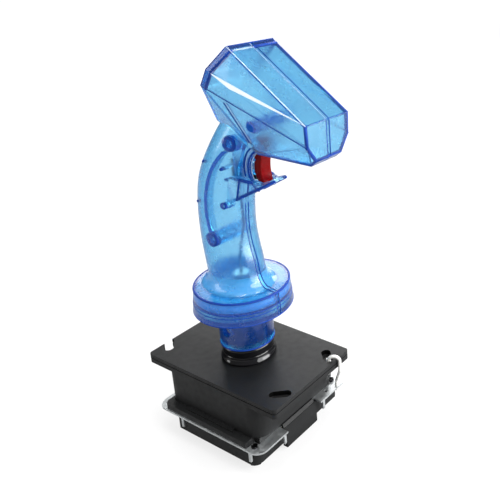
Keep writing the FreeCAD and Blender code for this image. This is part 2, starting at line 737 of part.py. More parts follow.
def trigger_cheeks():
    """Walls on both sides of the trigger, from the finger shelf up into the hood."""
    centre = TRIGGER_X - TRIGGER_T + TRIGGER_BACK_R
    y0 = TRIGGER_Y / 2 + TRIGGER_GAP
    wall = block(CHEEK_BACK, centre, y0, y0 + CHEEK_T, Z_PLATE + TRIGGER_TIP + 2, Z_PLATE + TRIGGER_PIN[1])
    wall = wall.cut(cyl_y(TRIGGER_BACK_R + CHEEK_GAP, 0, 40, centre, Z_PLATE + TRIGGER_MID))
    return [wall, mirrored(wall)]


def handle_shell():
    outer = skin(0.0)
    body = outer
    for room in hollow():
        body = body.cut(room)
    stem = cyl(HUB_R, Z_PLATE + CYL_LOW + BOOT_NECK_H + 1.5, Z_PLATE + COLLAR_HIGH + 2.0)
    fin = block(-CYL_R + 1, CYL_R - 1, -1.2, 1.2, Z_PLATE + CYL_LOW + BOOT_NECK_H + 1.5, Z_PLATE + COLLAR_LOW)
    plug = cyl(CYL_R - 1, Z_PLATE + COLLAR_HIGH - 1.4, Z_PLATE + COLLAR_HIGH + 1.6)
    inner = skin(0.6)
    extra = [stem, fin, plug, boss(SHAFT_SCREW, BOSS_R).common(cyl(CYL_R - 1, Z_PLATE, Z_PLATE + COLLAR_LOW))]
    for spot in (UPPER_SCREW, LOWER_SCREW):
        extra.append(boss(spot, BOSS_R).common(inner))
    extra.append(stripe().common(inner))
    extra += trigger_cheeks()
    pin_x, pin_z = TRIGGER_PIN
    lug = cyl_y(TRIGGER_LUG_R, -40, 40, pin_x, Z_PLATE + pin_z).common(inner)
    extra.append(lug)
    extra.append(boss(HOOD_POST, HOOD_POST_R).common(inner))
    socket = wall_stud(SOCKET, SOCKET_R, SOCKET_L).common(inner)
    extra.append(socket.cut(wall_stud(SOCKET, SOCKET_BORE, SOCKET_L + 1)))
    for spot in PADS:
        extra.append(wall_stud(spot, PAD_R, PAD_L).common(inner))
    for z in tswitch_pegs():
        peg = cyl_y(TPEG_R, -40, 0, TSWITCH_X + TSWITCH_D / 2, Z_PLATE + z)
        extra.append(peg.common(inner))
    for piece in extra:
        body = body.fuse(piece)
    body = body.cut(cyl_x(TPLUNGER_R + PLUNGER_GAP, TSWITCH_X + TSWITCH_D, TRIGGER_X, 0, Z_PLATE + TPLUNGER_Z))
    body = body.cut(cyl(SHAFT_R + SHAFT_FIT, Z_PLATE, Z_PLATE + SHAFT_IN_GRIP + 0.5))
    body = body.cut(trigger_way())
    body = body.cut(cyl_y(TRIGGER_PIN_R + PIN_FIT, -TRIGGER_PIN_HALF - 0.1, TRIGGER_PIN_HALF + 0.1, pin_x,
                          Z_PLATE + pin_z))
    groove = outer.cut(skin(SEAM_D)).common(block(-80, 120, -SEAM_W / 2, SEAM_W / 2, Z_PLATE, Z_PLATE + 230))
    return body.cut(groove)


def screw_face(spot):
    """Half width of the handle where a screw's seat lies."""
    x, z = spot
    if z < COLLAR_LOW:
        return CYL_R
    for (z0, x0, a0, b0), (z1, x1, a1, b1) in zip(GRIP, GRIP[1:]):
        if z0 <= z <= z1:
            t = (z - z0) / (z1 - z0)
            xc = x0 + t * (x1 - x0)
            a = a0 + t * (a1 - a0)
            b = b0 + t * (b1 - b0)
            return b * math.sqrt(max(0.1, 1 - ((x - xc) / a) ** 2))
    return CYL_R


def handle_screws():
    """The two grip screws enter from the far side and the shaft's screw from the near side."""
    screws = []
    for spot in (UPPER_SCREW, LOWER_SCREW, SHAFT_SCREW):
        seat = -screw_face(spot) + HSCREW_SINK
        head = cyl_y(HSCREW_HEAD_R, seat - HSCREW_HEAD_H, seat, spot[0], Z_PLATE + spot[1])
        stem = cyl_y(HSCREW_R, seat - 0.5, -seat, spot[0], Z_PLATE + spot[1])
        drive = block(-0.4, 0.4, seat - HSCREW_HEAD_H - 0.1, seat - HSCREW_HEAD_H + 0.9, -2.0, 2.0)
        cross = block(-2.0, 2.0, seat - HSCREW_HEAD_H - 0.1, seat - HSCREW_HEAD_H + 0.9, -0.4, 0.4)
        bolt = join(head, stem)
        for cut in (drive, cross):
            cut.translate(V(spot[0], 0, Z_PLATE + spot[1]))
            bolt = bolt.cut(cut)
        screws.append(bolt if spot == SHAFT_SCREW else mirrored(bolt))
    return screws


def handle_half(shell, side):
    if side < 0:
        body = shell.common(block(-80, 120, -60, -SEAM_GAP, Z_PLATE, Z_PLATE + 230))
    else:
        body = shell.common(block(-80, 120, SEAM_GAP, 60, Z_PLATE, Z_PLATE + 230))
    for spot in (UPPER_SCREW, LOWER_SCREW, SHAFT_SCREW):
        seat = -screw_face(spot) + HSCREW_SINK
        body = body.cut(cyl_y(HSCREW_R + HSCREW_FIT, seat - 1, -seat + 0.1, spot[0], Z_PLATE + spot[1]))
        head_side = -1 if spot == SHAFT_SCREW else 1
        if side == head_side:
            way = cyl_y(BOSS_HEAD_R, -60, seat, spot[0], Z_PLATE + spot[1])
            body = body.cut(way if head_side < 0 else mirrored(way))
    solids = sorted(body.Solids, key=lambda s: s.Volume)
    return solids[-1].removeSplitter()


def trigger():
    pin_x, pin_z = TRIGGER_PIN
    half = TRIGGER_Y / 2
    mid = Z_PLATE + TRIGGER_MID
    blade = cyl_y(TRIGGER_BACK_R, -half, half, TRIGGER_X - TRIGGER_T + TRIGGER_BACK_R, mid)
    blade = blade.cut(cyl_y(TRIGGER_FRONT_R, -half - 1, half + 1, TRIGGER_X + TRIGGER_FRONT_R, mid))
    blade = blade.makeFillet(TRIGGER_EDGE_R, [e for e in blade.Edges if along_y(e)])
    rims = [e for e in blade.Edges if abs(abs(e.CenterOfMass.y) - half) < TOUCH]
    blade = blade.makeFillet(TRIGGER_EDGE_R, rims)
    neck_back, neck_front = TRIGGER_NECK
    neck = block(neck_back, neck_front, -half, half, Z_PLATE + TRIGGER_NECK_LOW, Z_PLATE + pin_z)
    eye = cyl_y(TRIGGER_LUG_R, -half, half, pin_x, Z_PLATE + pin_z)
    body = join(blade, neck, eye)
    return body.cut(cyl_y(TRIGGER_PIN_R + PIN_FIT, -half - 1, half + 1, pin_x, Z_PLATE + pin_z))


def trigger_pin():
    return cyl_y(TRIGGER_PIN_R, -TRIGGER_PIN_HALF, TRIGGER_PIN_HALF, TRIGGER_PIN[0], Z_PLATE + TRIGGER_PIN[1])


def tswitch_pegs():
    return (TSWITCH_Z + 2.6, TSWITCH_Z + TSWITCH_L - 2.6)


def trigger_switch():
    half = TSWITCH_Y / 2
    low = Z_PLATE + TSWITCH_Z
    body = block(TSWITCH_X, TSWITCH_X + TSWITCH_D, -half, half, low, low + TSWITCH_L)
    for z in tswitch_pegs():
        body = body.cut(cyl_y(TPEG_R + SHAFT_FIT, -half - 1, half + 1, TSWITCH_X + TSWITCH_D / 2, Z_PLATE + z))
    way_in = TSWITCH_X + TSWITCH_D - TPLUNGER_IN
    return body.cut(cyl_x(TPLUNGER_R + PLUNGER_GAP, way_in, TRIGGER_X, 0, Z_PLATE + TPLUNGER_Z))


def trigger_plunger():
    return cyl_x(TPLUNGER_R, TSWITCH_X + TSWITCH_D - TPLUNGER_IN, TPLUNGER_TIP, 0, Z_PLATE + TPLUNGER_Z)


def trigger_spring():
    seat = TRIGGER_X - TRIGGER_T - TRIGGER_SWING
    centre = TRIGGER_X - TRIGGER_T + TRIGGER_BACK_R
    reach = centre - math.sqrt(TRIGGER_BACK_R ** 2 - (TSPRING_Z - TRIGGER_MID) ** 2)
    body = coil(TSPRING_R, TSPRING_WIRE, 0, reach - seat, TSPRING_TURNS)
    body.rotate(V(0, 0, 0), V(0, 1, 0), 90)
    body.translate(V(seat, 0, Z_PLATE + TSPRING_Z))
    return body


def trigger_wires():
    top = Z_PLATE + TSWITCH_Z
    low = Z_PLATE + SHAFT_IN_GRIP
    path = [(WIRE_X, 0, top), (WIRE_X, 0, low + 34), (0, 0, low + 10), (0, 0, low - 10)]
    return rod(path, [WIRE_BEND, WIRE_BEND], WIRE_R)


def lead():
    foot_x, foot_y = LEAD_FOOT
    high = Z_PLATE + LEAD_RISE
    deep = Z_LIP - LEAD_DROP / 2
    path = [(foot_x, foot_y, Z_STEEL - LEAD_TAIL), (foot_x, foot_y, Z_FLANGE + LEAD_TAIL)]
    path += [(LEAD_OUT_X, LEAD_OUT_Y, Z_LIP - 2 * LEAD_R), (LEAD_OUT_X, LEAD_OUT_Y, high)]
    path += [(LEAD_IN_X, LEAD_IN_Y, high), (LEAD_IN_X, LEAD_IN_Y, deep), (BOX_X / 2 - WALL, LEAD_IN_Y, deep)]
    return rod(path, [LEAD_KINK, LEAD_KINK, LEAD_BEND, LEAD_BEND, LEAD_BEND], LEAD_R)


def frame_screws():
    screws = []
    top = Z_FLANGE + HEAD_H
    for x, y in screw_spots():
        head = cyl(HEAD_R, Z_FLANGE, top, x, y)
        stem = cyl(SCREW_R, Z_STEEL - 6, Z_FLANGE, x, y)
        slit = block(x - HEAD_R, x + HEAD_R, y - 0.4, y + 0.4, top - 0.7, top + 1)
        screws.append(join(head, stem).cut(slit))
    return screws


save("top_plate", top_plate())
save("housing", housing())
save("bearing_cup", bearing(False))
save("bearing_cap", bearing(True))
save("pivot_ball", pivot_ball())
save("cross_pin", cyl_x(PIN_R, -PIN_HALF, PIN_HALF, 0, PIVOT_Z))
save("stick_shaft", shaft())
save("shaft_clip", clip())
save("actuator", actuator())
spring_top = PIVOT_Z - BEARING_H - LEDGE_T
spring_low = ACTUATOR_Z + ACTUATOR_H + FLANGE_RING_T
save("centring_spring", coil(SPRING_R, SPRING_WIRE, spring_low, spring_top, SPRING_TURNS))
save("steel_frame", steel_frame())
save("switch_tray", switch_tray())
save("gate_plate", gate())
save("bottom_cover", centred(COVER_SIZE, COVER_SIZE, 0, COVER_T, TRAY_R))
case = switch_case()
for name, angle in (("front", 0), ("left", 90), ("back", 180), ("right", 270)):
    save("switch_" + name, around(case, angle))
save("switch_tabs", group([around(switch_tab(), a) for a in (0, 90, 180, 270)]))
save("switch_plungers", group([around(switch_plunger(), a) for a in (0, 90, 180, 270)]))
save("switch_terminals", group([around(t, a) for a in (0, 90, 180, 270) for t in switch_terminals()]))
save("frame_screws", group(frame_screws()))
save("dust_boot", boot())
shell = handle_shell()
save("grip_right", handle_half(shell, -1))
save("grip_left", handle_half(shell, 1))
save("grip_screws", group(handle_screws()))
save("trigger", trigger())
save("trigger_pin", trigger_pin())
save("trigger_switch", trigger_switch())
save("trigger_plunger", trigger_plunger())
save("trigger_spring", trigger_spring())
save("trigger_wires", trigger_wires())
save("white_lead", lead())
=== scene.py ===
import json
import math
import bpy
import bmesh
import numpy as np
from mathutils import Matrix, Quaternion, Vector
from mathutils.bvhtree import BVHTree


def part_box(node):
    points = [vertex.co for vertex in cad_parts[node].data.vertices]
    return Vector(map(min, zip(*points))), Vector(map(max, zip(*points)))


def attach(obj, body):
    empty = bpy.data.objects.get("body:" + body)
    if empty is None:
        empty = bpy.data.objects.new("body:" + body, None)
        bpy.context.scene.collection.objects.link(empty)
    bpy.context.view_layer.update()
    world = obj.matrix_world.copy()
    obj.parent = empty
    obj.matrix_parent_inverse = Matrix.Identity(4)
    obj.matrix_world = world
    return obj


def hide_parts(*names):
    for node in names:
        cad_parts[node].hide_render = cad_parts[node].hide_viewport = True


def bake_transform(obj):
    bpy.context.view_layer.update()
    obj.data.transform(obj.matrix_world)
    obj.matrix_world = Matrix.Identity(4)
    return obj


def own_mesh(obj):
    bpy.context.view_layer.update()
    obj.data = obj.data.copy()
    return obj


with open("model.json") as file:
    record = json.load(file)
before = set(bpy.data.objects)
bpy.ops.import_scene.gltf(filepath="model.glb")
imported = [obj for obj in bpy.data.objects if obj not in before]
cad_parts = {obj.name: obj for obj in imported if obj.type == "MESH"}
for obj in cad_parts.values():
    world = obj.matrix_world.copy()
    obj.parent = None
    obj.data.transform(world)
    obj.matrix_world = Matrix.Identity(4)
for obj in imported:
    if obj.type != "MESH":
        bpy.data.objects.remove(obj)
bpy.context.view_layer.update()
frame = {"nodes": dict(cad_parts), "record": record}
MM = 0.001
PLATE_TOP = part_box("top_plate")[1].z

# Camera: the photograph is an off-centre crop, so the lens is shifted
CAMERA_SPOT = Vector((285.75, -252.10, 256.91)) * MM + Vector((0, 0, PLATE_TOP))
CAMERA_TURN = math.radians(29.657)
CAMERA_PITCH = math.radians(-18.78)
CAMERA_ROLL = math.radians(0.51)
CAMERA_NEAR = 0.01
PHOTO_PX = 500
FOCAL_PX = 655.714
CENTRE_PX = (442.25, 156.10)
SENSOR_MM = 36.0

# Colours of the finishes
BLACK_PLASTIC = (0.011, 0.0115, 0.012, 1)
# Near black for the walls of the plate's bolt slots: painted shade
PAINTED_SHADE_BLACK = (0.0015, 0.0015, 0.0015, 1)
BLACK_RUBBER = (0.004, 0.004, 0.005, 1)
SHELL_TINT = (1.0, 0.87, 0.84, 1)
SHELL_ABSORB = (0.12, 0.765, 0.92, 1)
SHELL_DENSITY = 380.0
# A faint blue glow in the shell: painted light
SHELL_GLOW = (0.02, 0.26, 1.0, 1)
SHELL_GLOW_STRENGTH = 0.07
EDGE_BLUE = (0.010, 0.045, 0.27, 1)
RIB_BLUE = (0.006, 0.09, 0.44, 1)
# Pale blue for painted highlights along the shell's edges, creases and seam
HIGHLIGHT_BLUE = (0.62, 0.76, 0.98, 1)
# Near white for the painted highlight strips on the hood's sides
HIGHLIGHT_WHITE = (0.88, 0.94, 1.0, 1)
# Milky blue with a painted glow, where the plastic is thick
MILKY_GLOW_BLUE = (0.06, 0.33, 0.62, 1)
# Blue with a painted glow for the collar's light band
BAND_GLOW_BLUE = (0.055, 0.25, 0.66, 1)
# Dark blue sleeve inside the neck: painted shade
SHADE_SLEEVE_BLUE = (0.004, 0.022, 0.13, 1)
TRIGGER_RED = (0.20, 0.001, 0.002, 1)
ZINC = (0.76, 0.79, 0.80, 1)
SCREW_BLACK = (0.03, 0.03, 0.032, 1)
NYLON = (0.80, 0.79, 0.74, 1)
BRASS = (0.78, 0.58, 0.26, 1)
LEAD_WHITE = (0.83, 0.83, 0.80, 1)
WIRE_DARK = (0.06, 0.16, 0.34, 1)
WHITE = (1, 1, 1, 1)
# The middle of a noise, where most of its values lie
NOISE_MIDDLE = (0.3, 0.7)


def new_material(name):
    """A fresh material with its node tree, its shader and Object coordinates."""
    mat = bpy.data.materials.new(name)
    mat.use_nodes = True
    tree = mat.node_tree
    place = tree.nodes.new("ShaderNodeTexCoord")
    return mat, tree, tree.nodes["Principled BSDF"], place.outputs["Object"]


def set_sockets(node, values):
    """Sets a node's input sockets by name."""
    for socket, value in values.items():
        node.inputs[socket].default_value = value


def noise(tree, place, scale, detail=4.0):
    tex = tree.nodes.new("ShaderNodeTexNoise")
    set_sockets(tex, {"Scale": scale, "Detail": detail})
    tree.links.new(place, tex.inputs["Vector"])
    return tex.outputs["Fac"]


def remap(tree, value, ends, span=NOISE_MIDDLE):
    """Spreads a span of a value over a range from one end to the other."""
    node = tree.nodes.new("ShaderNodeMapRange")
    set_sockets(node, dict(zip(("From Min", "From Max", "To Min", "To Max"), span + ends)))
    tree.links.new(value, node.inputs["Value"])
    return node.outputs["Result"]


def blend_colours(tree, value, first, second):
    node = tree.nodes.new("ShaderNodeMix")
    node.data_type = "RGBA"
    set_sockets(node, {"A": first, "B": second})
    tree.links.new(value, node.inputs["Factor"])
    return node.outputs["Result"]


def bump(tree, shader, value, strength, depth):
    node = tree.nodes.new("ShaderNodeBump")
    set_sockets(node, {"Strength": strength, "Distance": depth})
    tree.links.new(value, node.inputs["Height"])
    tree.links.new(node.outputs["Normal"], shader.inputs["Normal"])


def scaled(colour, k):
    return tuple(min(1.0, c * k) for c in colour[:3]) + (1.0,)


def textured(name, colour, tones, cloud, sheen, sheen_scale):
    """A finish whose tone and sheen drift over the surface."""
    mat, tree, shader, place = new_material(name)
    dark, light = (scaled(colour, k) for k in tones)
    tone = blend_colours(tree, noise(tree, place, cloud), dark, light)
    tree.links.new(tone, shader.inputs["Base Color"])
    tree.links.new(remap(tree, noise(tree, place, sheen_scale), sheen), shader.inputs["Roughness"])
    return mat, tree, shader, place


def moulded(name, colour, rough, grain, grain_depth, specular=0.5):
    """Injection-moulded plastic with a fine spark-eroded grain and uneven sheen."""
    mat, tree, shader, place = textured(name, colour, tones=(0.82, 1.2), cloud=60.0,
                                        sheen=(rough * 0.85, rough * 1.15), sheen_scale=240.0)
    set_sockets(shader, {"Specular IOR Level": specular})
    bump(tree, shader, noise(tree, place, grain, detail=2.0), strength=0.5, depth=grain_depth)
    return mat


def glossy_rubber(name, colour):
    """Smooth rubber with a wet-looking gloss."""
    mat, _, shader, _ = textured(name, colour, tones=(1.0, 1.6), cloud=90.0,
                                 sheen=(0.07, 0.12), sheen_scale=180.0)
    set_sockets(shader, {"Specular IOR Level": 0.55})
    return mat


def tinted_shell(name):
    """Clear tinted plastic: the colour deepens with the length of the way through it, and a faint blue glow
    in it is painted light.
    """
    mat, tree, shader, place = new_material(name)
    set_sockets(shader, {"Base Color": SHELL_TINT, "Transmission Weight": 1.0, "IOR": 1.46,
                         "Emission Color": SHELL_GLOW, "Emission Strength": SHELL_GLOW_STRENGTH,
                         "Coat Weight": 0.45, "Coat Roughness": 0.03})
    sheen = remap(tree, noise(tree, place, scale=140.0), ends=(0.22, 0.29))
    tree.links.new(sheen, shader.inputs["Roughness"])
    bump(tree, shader, noise(tree, place, scale=55.0, detail=1.0), strength=0.02, depth=0.4 * MM)
    volume = tree.nodes.new("ShaderNodeVolumeAbsorption")
    set_sockets(volume, {"Color": SHELL_ABSORB, "Density": SHELL_DENSITY})
    tree.links.new(volume.outputs["Volume"], tree.nodes["Material Output"].inputs["Volume"])
    return mat


def deep_tint(name, colour):
    """Thick tinted plastic, where the shell is seen along its wall and looks deep blue; a slight glow in it
    is painted light.
    """
    mat, _, shader, _ = textured(name, colour, tones=(0.8, 1.15), cloud=160.0,
                                 sheen=(0.26, 0.36), sheen_scale=300.0)
    set_sockets(shader, {"Specular IOR Level": 0.1, "Emission Color": colour, "Emission Strength": 0.32})
    return mat


def painted_light_tint(name, colour, lift):
    """Tinted plastic that glows as painted light, used for painted highlights and for painted glow where
    light runs inside the wall and comes out.
    """
    mat, _, shader, _ = textured(name, colour, tones=(0.93, 1.05), cloud=160.0,
                                 sheen=(0.2, 0.3), sheen_scale=300.0)
    set_sockets(shader, {"Emission Color": colour, "Emission Strength": lift})
    return mat


def gloss_plastic(name, colour, rough, specular=0.5):
    """Smooth plastic with a soft gloss."""
    mat, _, shader, _ = textured(name, colour, tones=(0.85, 1.1), cloud=110.0,
                                 sheen=(rough * 0.8, rough * 1.2), sheen_scale=300.0)
    set_sockets(shader, {"Specular IOR Level": specular})
    return mat


def plated(name, colour, rough):
    """Plated metal with cloudy sheen and fine rolling marks."""
    mat, tree, shader, place = textured(name, colour, tones=(0.86, 1.05), cloud=130.0,
                                        sheen=(rough * 0.75, rough * 1.3), sheen_scale=420.0)
    set_sockets(shader, {"Metallic": 1.0})
    bump(tree, shader, noise(tree, place, scale=900.0, detail=2.0), strength=0.04, depth=0.1 * MM)
    return mat


FINISH = {
    "black_plastic": moulded("black_moulded_plastic", BLACK_PLASTIC, rough=0.46, grain=1600.0,
                             grain_depth=0.06 * MM, specular=0.26),
    "black_gloss": glossy_rubber("glossy_black_boot", BLACK_RUBBER),
    "zinc_steel": plated("bright_zinc_plate", ZINC, rough=0.42),
    "black_oxide": plated("black_oxide_screws", SCREW_BLACK, rough=0.34),
    "blue_shell": tinted_shell("clear_blue_shell"),
    "red_plastic": gloss_plastic("red_trigger_plastic", TRIGGER_RED, rough=0.22, specular=0.1),
    "nylon": moulded("white_nylon", NYLON, rough=0.5, grain=900.0, grain_depth=0.04 * MM),
    "brass_blade": plated("brass_blades", BRASS, rough=0.34),
    "white_cable": gloss_plastic("white_lead_jacket", LEAD_WHITE, rough=0.42),
    "slot_painted_shade": moulded("painted_shade_slot_wall", PAINTED_SHADE_BLACK, rough=0.8, grain=900.0,
                          grain_depth=0.04 * MM, specular=0.05),
    "dark_cable": gloss_plastic("dark_wire_jacket", WIRE_DARK, rough=0.4),
    "deep_edge": deep_tint("deep_blue_edge", EDGE_BLUE),
    "painted_highlight_edge": painted_light_tint("painted_highlight_edge", HIGHLIGHT_BLUE, lift=0.06),
    "painted_highlight_strip": painted_light_tint("painted_highlight_strip", HIGHLIGHT_WHITE, lift=0.55),
    "milky_glow": painted_light_tint("milky_glow_blue", MILKY_GLOW_BLUE, lift=0.42),
    "collar_glow_band": painted_light_tint("collar_glow_band_blue", BAND_GLOW_BLUE, lift=0.3),
    "neck_shade": deep_tint("neck_shade_blue", SHADE_SLEEVE_BLUE),
    "rib": deep_tint("rib_blue", RIB_BLUE),
}


def finish_node(name, finish):
    node = frame["nodes"][name]
    node.data.materials.clear()
    node.data.materials.append(FINISH[finish])


for part in frame["record"]["subparts"]:
    finish_node(part["node"], part["material_slot"])
finish_node("frame_screws", "black_oxide")


# Vertices of a CAD mesh closer than this are one
MERGE = 0.01 * MM
# A face with more corners than this is the end of a bar and stays flat
QUAD = 4
# Steps of a ring round the lever's axis
RING_STEPS = 96


def spot(x, y, z):
    """Point given in millimetres, with its height above the plate."""
    return Vector((x, y, z)) * MM + Vector((0, 0, PLATE_TOP))


def evenly(low, high, count):
    """Values from low to high in even steps."""
    return [low + (high - low) * k / count for k in range(count + 1)]


def new_piece(name, bm, finish):
    """A new object from a finished bmesh, shaded smooth but for the ends of bars."""
    mesh = bpy.data.meshes.new(name)
    for face in bm.faces:
        face.smooth = len(face.verts) <= QUAD
    bm.to_mesh(mesh)
    bm.free()
    mesh.materials.append(FINISH[finish])
    piece = bpy.data.objects.new(name, mesh)
    bpy.context.scene.collection.objects.link(piece)
    return piece


def shell_piece(name, bm, finish):
    """A new piece for the look of the clear shell, which moves with the lever."""
    piece = new_piece(name, bm, finish)
    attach(piece, "lever")
    return piece


def merged_copy(name):
    """A bmesh of a CAD node with its loose triangles joined."""
    bm = bmesh.new()
    bm.from_mesh(frame["nodes"][name].data)
    bmesh.ops.remove_doubles(bm, verts=bm.verts, dist=MERGE)
    return bm


def spin_ring(bm, outline, centre, axis, steps):
    """Closed outline of points, spun once round an axis."""
    verts = [bm.verts.new(point) for point in outline]
    edges = [bm.edges.new(pair) for pair in zip(verts, verts[1:] + verts[:1])]
    bmesh.ops.spin(bm, geom=verts + edges, cent=centre, axis=axis, angle=2 * math.pi, steps=steps,
                   use_merge=True, use_duplicate=False)


def turned(outline):
    """Ring round the lever's axis from a closed outline: radius and height above the plate."""
    bm = bmesh.new()
    points = [spot(r, 0, z) for r, z in outline]
    spin_ring(bm, points, centre=(0, 0, 0), axis=(0, 0, 1), steps=RING_STEPS)
    bmesh.ops.recalc_face_normals(bm, faces=bm.faces)
    return bm


def bar(bm, start, end, radius, sides=10):
    """Round bar between two points."""
    run = end - start
    turn = run.to_track_quat("Z", "Y").to_matrix().to_4x4()
    place = Matrix.Translation(start + run / 2) @ turn
    bmesh.ops.create_cone(bm, cap_ends=True, segments=sides, radius1=radius, radius2=radius,
                          depth=run.length, matrix=place)
    for tip in (start, end):
        bmesh.ops.create_icosphere(bm, subdivisions=2, radius=radius, matrix=Matrix.Translation(tip))


def strand(bm, points, radius):
    """Round bar that bends through several points."""
    for first, second in zip(points, points[1:]):
        bar(bm, first, second, radius)


def skin_finder(name, way):
    """Finds where a line in a given direction first meets a CAD node."""
    bm = bmesh.new()
    bm.from_mesh(frame["nodes"][name].data)
    tree = BVHTree.FromBMesh(bm)
    bm.free()

    def at(start):
        return tree.ray_cast(start, way)[0]
    return at


# Black base pieces with rounded edges: edge radius in millimetres
SOFT_EDGES = {"top_plate": 0.4, "housing": 0.35, "switch_tray": 0.35, "gate_plate": 0.3, "bottom_cover": 0.3}
SOFT_SEGMENTS = 2
# Faces that meet within the flat angle are joined first, then edges sharper than the soft angle are rounded
FLAT_ANGLE = math.radians(1.0)
SOFT_ANGLE = math.radians(28)
EVEN_WEIGHT = 100
# The top plate's bolt slots, whose walls get painted shade: X and Y in millimetres, reach of their walls,
# and how little those walls lean
SLOT_SPOTS = [(46.3, -21.4), (46.3, 21.4), (-50.4, -21.4), (-50.4, 21.4)]
SLOT_REACH = 7.5
SLOT_LEAN = 0.5


def in_slot(face):
    """Whether a face of the top plate is a wall of one of its bolt slots."""
    centre = face.calc_center_median() / MM
    near = any(math.hypot(centre.x - x, centre.y - y) < SLOT_REACH for x, y in SLOT_SPOTS)
    return near and abs(face.normal.z) < SLOT_LEAN


def softened(name, edge_r):
    """A copy of a CAD node with its hard edges rounded, shown in the node's place; the top plate's slot
    walls get painted shade.
    """
    bm = merged_copy(name)
    bmesh.ops.dissolve_limit(bm, angle_limit=FLAT_ANGLE, verts=bm.verts, edges=bm.edges)
    # Walls of the top plate's bolt slots take the second, near-black finish: painted shade
    for face in bm.faces:
        face.material_index = int(name == "top_plate" and in_slot(face))
    piece = new_piece(name + "_softened", bm, "black_plastic")
    piece.data.shade_smooth()
    piece.data.materials.append(FINISH["slot_painted_shade"])
    rounding = piece.modifiers.new("rounded_edges", "BEVEL")
    rounding.width = edge_r * MM
    rounding.segments = SOFT_SEGMENTS
    rounding.limit_method = "ANGLE"
    rounding.angle_limit = SOFT_ANGLE
    shading = piece.modifiers.new("even_shading", "WEIGHTED_NORMAL")
    shading.weight = EVEN_WEIGHT
    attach(piece, "base")
    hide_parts(name)


# Hood corners on one side in millimetres: X, half width, height above the plate
HOOD = {
    "top_back": (24.3, 17.0, 201.6),
    "back": (10.2, 19.5, 188.6),
    "back_low": (2.9, 17.8, 178.8),
    "heel": (1.5, 8.0, 157.0),
    "under_back": (33.4, 10.2, 142.7),
    "under_front": (70.5, 10.2, 142.7),
    "chin": (74.6, 10.2, 146.0),
    "front_low": (74.6, 16.9, 155.0),
    "front_top": (74.6, 17.2, 166.6),
}
NEAR, FAR = -1, 1
# Hood edges as they look: first corner, second corner, sides, kind of line
HOOD_LINES = [
    ("front_top", "front_low", (NEAR, FAR), "deep"),
    ("front_low", "chin", (NEAR, FAR), "deep"),
    ("chin", "under_front", (NEAR, FAR), "deep"),
    ("under_front", "under_back", (NEAR, FAR), "deep"),
    ("back_low", "front_low", (NEAR, FAR), "thin"),
    ("top_back", "back", (NEAR, FAR), "thin"),
    ("back", "back_low", (NEAR, FAR), "thin"),
    ("top_back", "front_top", (FAR,), "deep"),
    # The near top ridge gets a painted highlight
    ("top_back", "front_top", (NEAR,), "painted_highlight"),
]
HOOD_ACROSS = [("top_back", "thin"), ("chin", "deep"), ("under_front", "thin"), ("front_top", "hair")]
# Kinds of line in millimetres: bar radius, depth of its centre under the surface
LINE = {
    "deep": (0.9, 0.82),
    "rim": (1.15, 0.85),
    "thin": (0.42, 0.36),
    "hair": (0.16, 0.12),
    # A painted highlight line
    "painted_highlight": (0.22, 0.16),
}
# The back wall's inner edge: each corner, the corner its side runs to, and how far along that side it lies
RIM_CORNERS = {"top_back": "front_top", "back": "front_top", "back_low": "front_low"}
RIM_IN = 3.0
# Share of the rim's radius that its half with the painted highlight has
RIM_HIGHLIGHT = 0.6
# Joint of grip and hood on the side, upper and lower end: X, half width, height
JOINT = [(18.8, 16.8, 171.0), (29.6, 11.8, 149.8)]
# Bars along that joint: distance ahead of it, bar radius, painted highlight or deep
JOINT_BARS = [(0.0, 0.4, "deep"), (1.1, 0.3, "painted_highlight"), (2.2, 0.25, "deep")]
# How much a bar lies higher for each millimetre of that distance
JOINT_RISE = 0.3


def sunk_corners(depth):
    """The hood's corners, moved in so far that they lie a given depth under each face that meets there."""
    hull = bmesh.new()
    verts = {}
    for name, (x, y, z) in HOOD.items():
        for side in (NEAR, FAR):
            verts[name, side] = hull.verts.new(spot(x, side * y, z))
    bmesh.ops.convex_hull(hull, input=hull.verts)
    hull.normal_update()
    corners = {}
    for key, vert in verts.items():
        normals = np.array([face.normal for face in vert.link_faces])
        shift = np.linalg.lstsq(normals, np.full(len(normals), -depth * MM), rcond=None)[0]
        corners[key] = vert.co + Vector(shift)
    hull.free()
    return corners


def hood_edges(lines, corners):
    """Bars along the hood's edges: deep blue, or a pale painted highlight along the near ridge."""
    for first, second, sides, kind in HOOD_LINES:
        bm = lines["painted_highlight" if kind == "painted_highlight" else "deep"]
        for side in sides:
            bar(bm, corners[kind][first, side], corners[kind][second, side], LINE[kind][0] * MM)
    for name, kind in HOOD_ACROSS:
        bar(lines["deep"], corners[kind][name, NEAR], corners[kind][name, FAR], LINE[kind][0] * MM)


def hood_rim(lines, corners):
    """The inner edge of the hood's back wall, with a painted highlight on the near half of its top."""
    rim = {}
    rim_r = LINE["rim"][0] * MM
    for side in (NEAR, FAR):
        for name, ahead in RIM_CORNERS.items():
            start = corners[name, side]
            run = corners[ahead, side] - start
            rim[name, side] = start + run.normalized() * RIM_IN * MM
        strand(lines["deep"], [rim[name, side] for name in RIM_CORNERS], rim_r)
    middle = (rim["top_back", NEAR] + rim["top_back", FAR]) / 2
    bar(lines["deep"], middle, rim["top_back", FAR], rim_r)
    bar(lines["painted_highlight"], middle, rim["top_back", NEAR], rim_r * RIM_HIGHLIGHT)


def hood_joint(lines):
    """The fine lines where the grip runs into the hood: deep lines with a painted highlight between them."""
    for side in (NEAR, FAR):
        for gap, radius, kind in JOINT_BARS:
            upper, lower = (spot(x + gap, side * y, z + gap * JOINT_RISE) for x, y, z in JOINT)
            bar(lines[kind], upper, lower, radius * MM)


